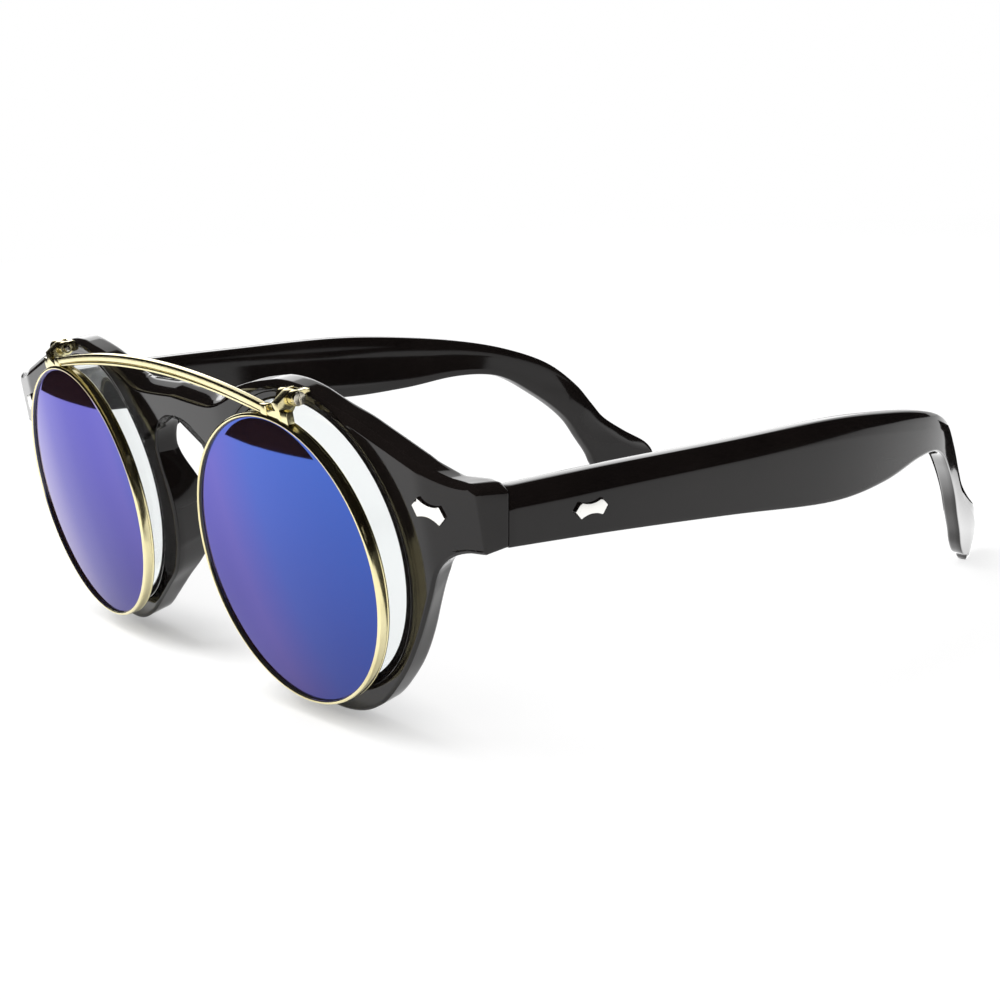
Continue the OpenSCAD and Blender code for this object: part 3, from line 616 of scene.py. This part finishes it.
# lenses and wire rims
def spunProfile(profile, centre, steps, closedProfile=True):
    # the profile is a list of radius and depth; it spins round the line through the lens centre
    mesh = bmesh.new()
    corners = [mesh.verts.new((r, d, 0)) for r, d in profile]
    edges = [mesh.edges.new((corners[i], corners[i + 1])) for i in range(len(corners) - 1)]
    if closedProfile:
        edges.append(mesh.edges.new((corners[-1], corners[0])))
    bmesh.ops.spin(mesh, geom=corners + edges, cent=(0, 0, 0), axis=(0, 1, 0), dvec=(0, 0, 0), angle=2 * math.pi,
                   steps=steps, use_merge=True, use_duplicate=False)
    bmesh.ops.remove_doubles(mesh, verts=mesh.verts, dist=1e-5)
    bmesh.ops.translate(mesh, vec=centre, verts=mesh.verts)
    return mesh


lensPlane = Matrix.Translation((frontSize["rimX"], 0, 0)) @ Matrix.Rotation(frontSize["wrap"], 4, "Z")


def roundCorner(points, radius, segments=3):
    # rounds each corner of a closed profile
    rounded = []
    for i, here in enumerate(points):
        a, b = Vector(points[i - 1]), Vector(points[(i + 1) % len(points)])
        here = Vector(here)
        cut = min(radius, (a - here).length * 0.45, (b - here).length * 0.45)
        start, end = here + (a - here).normalized() * cut, here + (b - here).normalized() * cut
        rounded += [quadCurve(start, here, end, k / segments) for k in range(segments + 1)]
    return rounded


def buildRim(side):
    rim = {"outer": 22.55, "inner": 21.35, "lip": 22.0, "depth": 2.0, "soft": 0.16, "line": 0.09, "steps": 240}
    o, i, w, d, g = rim["outer"], rim["inner"], rim["lip"], rim["depth"], rim["line"]
    profile = [(w, 0.12), (w + 0.1, 0.0), (o - 0.2, 0.0), (o - 0.03, 0.2), (o, 0.7), (o - 0.02, d - 0.52),
               (o - g, d - 0.46), (o - g, d - 0.38), (o - 0.03, d - 0.32), (o - 0.05, d - 0.12), (o - 0.15, d),
               (i + 0.15, d), (i, d - 0.1), (i, d - 0.22), (w - 0.02, d - 0.24), (w, d - 0.4)]
    mesh = spunProfile(roundCorner(profile, rim["soft"]), (0, 0, 0), rim["steps"])
    bmesh.ops.transform(mesh, matrix=lensPlane, verts=mesh.verts)
    name = "left" if side > 0 else "right"
    return linkPiece("wireRim_" + name, mesh, frontPlane, "flip_clip", gold,
                     ["clip_rim_" + name], side < 0)


def buildTint(side):
    tint = {"edge": 21.98, "reach": 21.78, "curve": 180.0, "front": 0.5, "thick": 1.15, "rings": 24, "steps": 160}
    reach = tint["reach"]
    base = math.sqrt(tint["curve"] ** 2 - reach ** 2)

    def dome(r, at):
        return at + base - math.sqrt(tint["curve"] ** 2 - r * r)

    radii = [reach * k / tint["rings"] for k in range(tint["rings"] + 1)]
    front = [(r, dome(r, tint["front"])) for r in radii]
    back = [(r, d + tint["thick"]) for r, d in reversed(front)]
    edge, deep = tint["edge"], tint["front"]
    behind = deep + tint["thick"]
    # the raised edge reaches forward along the inner wall of the wire rim; its dark finish is painted shade for that
    # wall
    profile = front + [(edge - 0.17, deep), (edge - 0.15, deep - 0.06), (edge - 0.08, 0.2), (edge, 0.14),
                       (edge, behind - 0.1), (edge - 0.1, behind)] + back
    mesh = spunProfile(profile, (0, 0, 0), tint["steps"], closedProfile=False)
    bmesh.ops.transform(mesh, matrix=lensPlane, verts=mesh.verts)
    name = "left" if side > 0 else "right"
    lens = linkPiece("mirrorLens_" + name, mesh, frontPlane, "flip_clip", mirrorCoat,
                     ["tinted_lens_" + name], side < 0)
    # only the front is coated; the back stays smoky, and the dark edge is painted shade over the inner wall of the wire
    # rim
    lens.data.materials.append(smokyBackAndShadeEdge)
    ahead = frontPlane.to_3x3() @ Vector((0, -1, 0))
    ahead.normalize()
    coated = 0.8
    for face in lens.data.polygons:
        if face.normal.dot(ahead) < coated:
            face.material_index = 1
    return lens


def buildClear(side):
    lens = {"radius": 22.26, "front": 5.89, "thick": 1.8, "edge": 0.3, "border": 6, "steps": 120}
    r, d, t, e = lens["radius"], lens["front"], lens["thick"], lens["edge"]
    flat = r - e - lens["border"]
    profile = [(0, d), (flat, d), (r - e, d), (r, d + e), (r, d + t - e), (r - e, d + t), (flat, d + t), (0, d + t)]
    mesh = spunProfile(profile, (frontSize["openingU"], 0, frontSize["openingV"]), lens["steps"], closedProfile=False)
    bmesh.ops.transform(mesh, matrix=lensPlane, verts=mesh.verts)
    name = "left" if side > 0 else "right"
    return linkPiece("clearLens_" + name, mesh, frontPlane, "front", clearGlass,
                     ["clear_lens_" + name], side < 0)


for side in (1, -1):
    buildRim(side)
    buildTint(side)
    buildClear(side)
print("rims and lenses made")


# temples
# the upper and lower edge seen from the side, as length and height, and the outer face seen from above
upperLine = [(10.7, 15.875), (30, 17.1), (52, 17.9), (75, 18.6), (92, 17.8), (105, 16.3), (114, 14.2), (121, 11.2),
             (126.5, 6.5), (130, 2), (132.6, -1.2), (137, -4.3), (141.8, -7.2), (143.6, -10.2), (142.3, -13.2), (139.3, -14.7)]
lowerLine = [(10.7, 7.725), (30, 7.7), (52, 7), (75, 5.85), (90, 6.9), (101, 8.8), (108.5, 9.05), (113.5, 7.7),
             (118.5, 4.4), (122.5, 1.2), (125.5, -2), (127.8, -5.8), (130, -9.4), (131.2, -12.1), (133.1, -14.2), (135.7, -15.0)]
planLine = [(10.7, 73.3), (33, 74.0), (60, 73.1), (80, 71.18), (97, 67.47), (112, 62.17), (128, 53.69), (145, 46.27)]


def buildTemple(side):
    # thinFrom: share of the length where the temple starts to thin, thinEnd: how much thinner its end is
    temple = {"thick": 3.8, "thinFrom": 0.3, "thinEnd": 0.28, "shoulder": 3.5, "steps": 9, "planSteps": 12,
              "tipRound": 1.3, "tipShrink": 0.45, "tipTurns": (20, 40, 60, 78)}
    upper, lower = splineThrough(upperLine, temple["steps"]), splineThrough(lowerLine, temple["steps"])
    plan = splineThrough(planLine, temple["planSteps"])

    def outside(y):
        for a, b in zip(plan, plan[1:]):
            if y <= b[0]:
                return a[1] + (b[1] - a[1]) * max(0, y - a[0]) / (b[0] - a[0])
        return plan[-1][1]

    def section(i, shrink=1.0, ahead=0.0, inset=0.0):
        # going round one section: distance in from the outer face, and height from the lower edge
        up, low = Vector(upper[i]), Vector(lower[i])
        height = (up - low).length
        share = i / (len(upper) - 1)
        thinFrom = temple["thinFrom"]
        thinned = max(0, share - thinFrom) / (1 - thinFrom)
        thick = temple["thick"] * (1 - temple["thinEnd"] * thinned)
        s = min(temple["shoulder"], 0.4 * height)
        shape = [(0.28, 0), (0.06, 0.1), (0, 0.32), (0, 0.8), (0, (height - s) * 0.35), (0, (height - s) * 0.7),
                 (0, height - s), (0.015, height - 0.93 * s), (0.05, height - 0.86 * s), (0.2, height - 0.6 * s),
                 (0.37, height - 0.38 * s), (0.54, height - 0.22 * s), (0.7, height - 0.1 * s), (0.86, height - 0.025 * s),
                 (1.1, height), (thick - 0.8, height), (thick - 0.35, height - 0.08), (thick - 0.08, height - 0.35),
                 (thick, height - 0.8), (thick, height * 0.6), (thick, height * 0.3), (thick, 0.8), (thick - 0.08, 0.35),
                 (thick - 0.35, 0.08), (thick - 0.8, 0), (1.0, 0)]
        along = (up - low) / height
        ring = []
        for across, tall in shape:
            across = thick / 2 + (across - thick / 2) * shrink * (1 - 2 * inset / thick)
            tall = height / 2 + (tall - height / 2) * shrink * (1 - 2 * inset / height)
            place = low + along * tall + Vector((along.y, -along.x)) * ahead
            ring.append((outside(place.x) - across, place.x, place.y))
        return ring

    last = len(upper) - 1
    rings = [section(0, inset=0.16), section(0, ahead=0.04, inset=0.05), section(0, ahead=0.16)]
    rings += [section(i) for i in range(1, last + 1)]
    for turn in temple["tipTurns"]:
        a = math.radians(turn)
        shrink = temple["tipShrink"] + (1 - temple["tipShrink"]) * math.cos(a)
        rings.append(section(last, shrink=shrink, ahead=temple["tipRound"] * math.sin(a)))
    mesh = bmesh.new()
    loftRings(mesh, rings)
    name = "left" if side > 0 else "right"
    return linkPiece("templeAcetate_" + name, mesh, templePlane, "temple_arm_" + name, acetate,
                     ["temple_" + name], side < 0)


for side in (1, -1):
    buildTemple(side)
print("temples made")


# small metal pieces, refined from the frame: merged, flat faces joined, every sharp edge rounded
def refineNode(node, body, slot, material, soft, taller=1.0):
    flatAngle, sharpAngle, segments = math.radians(1.5), math.radians(32), 3
    mesh = bmesh.new()
    mesh.from_mesh(frame["nodes"][node].data)
    if taller > 1:
        middle = sum((v.co for v in mesh.verts), Vector()) / len(mesh.verts)
        bmesh.ops.scale(mesh, vec=(1, 1, taller), space=Matrix.Translation(-middle), verts=mesh.verts)
    bmesh.ops.remove_doubles(mesh, verts=mesh.verts, dist=1e-6)
    bmesh.ops.dissolve_limit(mesh, angle_limit=flatAngle, verts=mesh.verts, edges=mesh.edges)
    sharp = [e for e in mesh.edges if len(e.link_faces) == 2 and e.calc_face_angle(0) > sharpAngle]
    bmesh.ops.bevel(mesh, geom=sharp, offset=soft * 0.001, offset_type="OFFSET", segments=segments, profile=0.5,
                    affect="EDGES", material=-1, clamp_overlap=True)
    bmesh.ops.triangulate(mesh, faces=[f for f in mesh.faces if len(f.verts) > 4])
    return linkPiece("fine_" + node, mesh, Matrix.Identity(4), body, material, [node])


# body, material slot, material, rounding in millimetres, and how much taller than in the frame
smallPieces = {
    "front_plaque": ("front", "plaque_metal", silver, 0.12, 1.4),
    "flip_bracket": ("front", "pale_gold", gold, 0.08),
    "flip_pin": ("front", "hinge_metal", nickel, 0.06),
    "front_hinge_leaf": ("front", "hinge_metal", nickel, 0.08),
    "temple_screw": ("front", "hinge_metal", nickel, 0.08),
    "temple_plaque": ("temple_arm", "plaque_metal", silver, 0.12, 1.2),
    "temple_hinge_leaf": ("temple_arm", "hinge_metal", nickel, 0.08),
    "clip_tab": ("flip_clip", "pale_gold", gold, 0.1),
}
for piece, (body, slot, material, *finish) in smallPieces.items():
    for name in ("left", "right"):
        refineNode(piece + "_" + name, body + "_" + name if body == "temple_arm" else body, slot, material, *finish)


def buildRails():
    # two bowed wires that run together at both ends, each end pressed flat where it meets the tab
    rails = {
        "span": 34.85,
        "depth": 1.0,
        "upper": {"tall": 1.2, "deep": 1.15, "soft": 0.3, "end": 23.25, "rise": 3.2},
        "lower": {"tall": 0.62, "deep": 0.8, "soft": 0.22, "end": 22.45, "rise": 2.95},
        "steps": 96,
        "foot": (1.7, 1.3, 1.7),
        "footIn": 0.5,
        "footHeight": 23.2,
        "footSoft": 0.22,
    }
    mesh = bmesh.new()
    for rail in (rails["upper"], rails["lower"]):
        bow = (rails["span"] ** 2 + rail["rise"] ** 2) / (2 * rail["rise"])
        sweep = math.asin(rails["span"] / bow)
        middle = rail["end"] + rail["rise"] - bow
        t, d = rail["tall"] / 2, rail["deep"] / 2
        section = roundCorner([(t, d), (-t, d), (-t, -d), (t, -d)], rail["soft"], 5)
        made, edges = startRing(mesh, [(bow + across, along, 0) for across, along in section])
        bmesh.ops.rotate(mesh, verts=made, cent=(0, 0, 0), matrix=Matrix.Rotation(-(math.pi / 2 - sweep), 3, "Y"))
        bmesh.ops.translate(mesh, verts=made, vec=(0, rails["depth"], middle))
        bmesh.ops.spin(mesh, geom=made + edges, cent=(0, rails["depth"], middle), axis=(0, -1, 0), dvec=(0, 0, 0),
                       angle=2 * sweep, steps=rails["steps"], use_merge=False, use_duplicate=False)
    bmesh.ops.holes_fill(mesh, edges=[e for e in mesh.edges if e.is_boundary], sides=0)
    for way in (1, -1):
        foot = bmesh.ops.create_cube(mesh, size=1)["verts"]
        bmesh.ops.scale(mesh, verts=foot, vec=rails["foot"])
        footPlace = (way * (rails["span"] - rails["footIn"]), rails["depth"], rails["footHeight"])
        bmesh.ops.translate(mesh, verts=foot, vec=footPlace)
        bmesh.ops.bevel(mesh, geom=list({e for v in foot for e in v.link_edges}), offset=rails["footSoft"],
                        offset_type="OFFSET", segments=4, profile=0.5, affect="EDGES", material=-1, clamp_overlap=True)
    return linkPiece("clipRails", mesh, frontPlane, "flip_clip", gold, ["clip_bridge"])


buildRails()
print("metal pieces refined")


# studio
def studioMaterial(name, colour):
    material, _, shader = newMaterial(name)
    shader.inputs["Roughness"].default_value = 0.9
    shader.inputs["Specular IOR Level"].default_value = 0
    shader.inputs["Base Color"].default_value = (*colour, 1)
    return material


def stageMesh(name, mesh, material, hidden=False):
    data = bpy.data.meshes.new(name)
    mesh.to_mesh(data)
    mesh.free()
    thing = bpy.data.objects.new(name, data)
    bpy.context.scene.collection.objects.link(thing)
    data.materials.append(material)
    if hidden:
        hideFromView(thing)


def stagePlane(name, width, height, place, material, hidden=False):
    mesh = bmesh.new()
    bmesh.ops.create_grid(mesh, x_segments=1, y_segments=1, size=0.5)
    bmesh.ops.scale(mesh, vec=(width, height, 1), verts=mesh.verts)
    bmesh.ops.transform(mesh, matrix=place, verts=mesh.verts)
    stageMesh(name, mesh, material, hidden)


def softLamp(name, place, aim, width, power):
    data = bpy.data.lights.new(name, "AREA")
    data.shape = "RECTANGLE"
    data.size, data.size_y, data.energy = width, width, power
    lamp = bpy.data.objects.new(name, data)
    bpy.context.scene.collection.objects.link(lamp)
    lamp.location = place
    lamp.rotation_euler = (Vector(aim) - Vector(place)).to_track_quat("-Z", "Y").to_euler()
    return lamp


def paperMaterial(look):
    # white paper, plain white far away so that no horizon shows
    material, tree, shader = newMaterial("whitePaper")
    shader.inputs["Roughness"].default_value = 0.9
    shader.inputs["Specular IOR Level"].default_value = 0
    path = addNode(tree, "ShaderNodeLightPath")
    place = addNode(tree, "ShaderNodeTexCoord")
    grain = addNode(tree, "ShaderNodeTexNoise", Scale=300.0, Detail=4.0)
    tree.links.new(place.outputs["Object"], grain.inputs["Vector"])
    tone = addRamp(tree, grain.outputs["Fac"], [(0.2, look["paper"] - 0.01), (0.8, look["paper"])])
    tree.links.new(tone.outputs["Color"], shader.inputs["Base Color"])
    reach = addNode(tree, "ShaderNodeVectorMath", operation="LENGTH")
    tree.links.new(place.outputs["Object"], reach.inputs[0])
    far = addNode(tree, "ShaderNodeMapRange")
    far.inputs["From Min"].default_value, far.inputs["From Max"].default_value = look["fade"]
    tree.links.new(reach.outputs["Value"], far.inputs["Value"])
    # under the rims the shadow keeps its full depth
    spot = addNode(tree, "ShaderNodeVectorMath", operation="MULTIPLY_ADD")
    spot.inputs[1].default_value, spot.inputs[2].default_value = look["contactShape"]
    tree.links.new(place.outputs["Object"], spot.inputs[0])
    close = addNode(tree, "ShaderNodeVectorMath", operation="LENGTH")
    tree.links.new(spot.outputs[0], close.inputs[0])
    lift = addNode(tree, "ShaderNodeMapRange")
    lift.inputs["From Min"].default_value, lift.inputs["From Max"].default_value = look["contact"]
    lift.inputs["To Min"].default_value, lift.inputs["To Max"].default_value = look["lift"]
    tree.links.new(close.outputs["Value"], lift.inputs["Value"])
    blank = addNode(tree, "ShaderNodeMath", operation="MAXIMUM")
    tree.links.new(far.outputs["Result"], blank.inputs[0])
    tree.links.new(lift.outputs["Result"], blank.inputs[1])
    seen = addNode(tree, "ShaderNodeMath", operation="MAXIMUM")
    tree.links.new(path.outputs["Is Camera Ray"], seen.inputs[0])
    tree.links.new(path.outputs["Is Transmission Ray"], seen.inputs[1])
    share = addNode(tree, "ShaderNodeMath", operation="MULTIPLY")
    tree.links.new(blank.outputs[0], share.inputs[0])
    tree.links.new(seen.outputs[0], share.inputs[1])
    glow = addNode(tree, "ShaderNodeEmission", Strength=1.0, Color=(1, 1, 1, 1))
    both = mixShaders(tree, shader.outputs["BSDF"], glow.outputs["Emission"], tree.nodes["Material Output"])
    tree.links.new(share.outputs[0], both.inputs["Fac"])
    return material


def darkRoom(material, look):
    # the dark room round the set, which only reflections see; it is open low down at the back left
    mesh = bmesh.new()
    bmesh.ops.create_uvsphere(mesh, u_segments=72, v_segments=36, radius=look["radius"])
    gone = []
    for face in mesh.faces:
        at = face.calc_center_median().normalized()
        turn, height = math.degrees(math.atan2(at.y, at.x)) % 360, math.degrees(math.asin(at.z))
        if height < -2 or (look["openFrom"] < turn < look["openTo"] and height < look["openTop"]):
            gone.append(face)
    bmesh.ops.delete(mesh, geom=gone, context="FACES")
    stageMesh("darkRoom", mesh, material, hidden=True)


def glowMaterial(name, glow):
    # brightness by the distance from a middle
    material, tree, _ = newMaterial(name)
    place = addNode(tree, "ShaderNodeTexCoord")
    reach = addNode(tree, "ShaderNodeVectorMath", operation="DISTANCE")
    tree.links.new(place.outputs["Object"], reach.inputs[0])
    reach.inputs[1].default_value = glow[0]
    power = addNode(tree, "ShaderNodeMapRange")
    for socket, value in zip(("From Min", "From Max", "To Min", "To Max"), glow[1]):
        power.inputs[socket].default_value = value
    tree.links.new(reach.outputs["Value"], power.inputs["Value"])
    glowing = addNode(tree, "ShaderNodeEmission", Color=(1, 1, 1, 1))
    tree.links.new(power.outputs["Result"], glowing.inputs["Strength"])
    tree.links.new(glowing.outputs["Emission"], tree.nodes["Material Output"].inputs["Surface"])
    return material


def hideFromView(thing):
    thing.visible_camera = False
    thing.visible_diffuse = False
    thing.visible_shadow = False
    thing.visible_transmission = False


def buildStudio():
    # lift: how white the paper is drawn at the rims and away from them
    # glows: their middle, then two distances and the brightness at each; lamps: name, place, aim, width, power
    studio = {
        "paper": 0.92,
        "fade": (0.3, 0.7),
        "lift": (0.05, 0.78),
        "contact": (0.003, 0.014),
        "contactShape": ((0.2, 1, 1), (0, 0.061, 0)),
        "curtain": (0.012, 0.011, 0.011),
        "world": 0.72,
        "radius": 1.6,
        "openFrom": 95,
        "openTo": 215,
        "openTop": 42,
        "wall": [(-0.02, -0.222), (-0.073, -0.204), (-0.134, -0.181), (-0.18, -0.168),
                 (-0.211, -0.172), (-0.238, -0.150), (-0.289, -0.105), (-0.34, -0.05)],
        "wallHeight": 0.4,
        "tipGlow": ((0.045, 0.085, 0), (0.0, 0.05, 3.4, 1.2)),
        "backGlow": ((0, 0, 0), (0.0, 1.0, 2.4, 2.4)),
        "backTurn": math.radians(150),
        "lamps": [("topSoft", (-0.3, -0.38, 0.95), (0, 0, 0), 0.7, 9),
                  ("frontSoft", (0.1, -0.9, 0.7), (0, 0, 0.02), 0.5, 2)],
    }
    stagePlane("paperFloor", 4, 4, Matrix.Translation((0, 0, -0.0002)), paperMaterial(studio))
    dark = studioMaterial("darkCurtain", studio["curtain"])
    darkRoom(dark, studio)
    # a dark folding wall stands to the left in front of the glasses; only reflections see it
    mesh = bmesh.new()
    corners = [mesh.verts.new((x, y, 0)) for x, y in studio["wall"]]
    edges = [mesh.edges.new(pair) for pair in zip(corners, corners[1:])]
    raised = [v for v in bmesh.ops.extrude_edge_only(mesh, edges=edges)["geom"] if isinstance(v, bmesh.types.BMVert)]
    bmesh.ops.translate(mesh, verts=raised, vec=(0, 0, studio["wallHeight"]))
    stageMesh("darkWall", mesh, dark, hidden=True)
    # for reflections only: a low dark card that shades the far temple, a bright patch under the near tip
    # and a bright card at the back left
    quarter = math.pi / 2
    low = Matrix.Translation((0.035, 0.1, 0.0135))
    low = low @ Matrix.Rotation(quarter, 4, "Z") @ Matrix.Rotation(quarter, 4, "X")
    stagePlane("lowCard", 0.14, 0.017, low, dark, hidden=True)
    patch = Matrix.Translation((0.05, 0.09, 0.0003))
    stagePlane("tipPatch", 0.11, 0.1, patch, glowMaterial("tipGlow", studio["tipGlow"]), hidden=True)
    back = Matrix.Rotation(studio["backTurn"], 4, "Z")
    back = back @ Matrix.Translation((1.3, 0, 0.4)) @ Matrix.Rotation(quarter, 4, "Y")
    stagePlane("backCard", 0.6, 1.1, back, glowMaterial("backGlow", studio["backGlow"]), hidden=True)
    for lamp in studio["lamps"]:
        softLamp(*lamp).visible_glossy = False
    world = bpy.data.worlds.new("studioWorld")
    bpy.context.scene.world = world
    world.use_nodes = True
    tree = world.node_tree
    base = tree.nodes["Background"]
    base.inputs["Strength"].default_value = studio["world"]
    base.inputs["Color"].default_value = (1, 1, 1, 1)
    white = addNode(tree, "ShaderNodeBackground", Strength=1.0, Color=(1, 1, 1, 1))
    path = addNode(tree, "ShaderNodeLightPath")
    seen = addNode(tree, "ShaderNodeMath", operation="MAXIMUM")
    also = addNode(tree, "ShaderNodeMath", operation="MAXIMUM")
    tree.links.new(path.outputs["Is Camera Ray"], seen.inputs[0])
    tree.links.new(path.outputs["Is Glossy Ray"], seen.inputs[1])
    tree.links.new(seen.outputs[0], also.inputs[0])
    tree.links.new(path.outputs["Is Transmission Ray"], also.inputs[1])
    both = mixShaders(tree, base.outputs[0], white.outputs[0], tree.nodes["World Output"])
    tree.links.new(also.outputs[0], both.inputs["Fac"])
    bpy.context.scene.view_settings.view_transform = "Standard"


def placeCamera():
    # the place of the camera, measured from the middle of the front in millimetres, and its turns in degrees
    view = {
        "place": (264.756, -125.705, 86.181),
        "yaw": 54.379,
        "pitch": 17.333,
        "roll": -8.238,
        "lens": 67.55,
        "sensor": 36,
    }
    yaw, pitch, roll = (math.radians(view[k]) for k in ("yaw", "pitch", "roll"))
    ahead = Vector((-math.sin(yaw) * math.cos(pitch), math.cos(yaw) * math.cos(pitch), -math.sin(pitch)))
    level = Vector((math.cos(yaw), math.sin(yaw), 0))
    upright = level.cross(ahead)
    right = math.cos(roll) * level + math.sin(roll) * upright
    up = -math.sin(roll) * level + math.cos(roll) * upright
    turn = Matrix((right, up, -ahead)).transposed().to_4x4()
    data = bpy.data.cameras.new("photoCamera")
    data.lens, data.sensor_width = view["lens"], view["sensor"]
    data.clip_start, data.clip_end = 0.01, 20
    camera = bpy.data.objects.new("photoCamera", data)
    bpy.context.scene.collection.objects.link(camera)
    camera.matrix_world = Matrix.Translation(frontPlane @ Vector(view["place"])) @ leanTurn @ turn
    bpy.context.scene.camera = camera


buildStudio()
placeCamera()
print("studio ready")
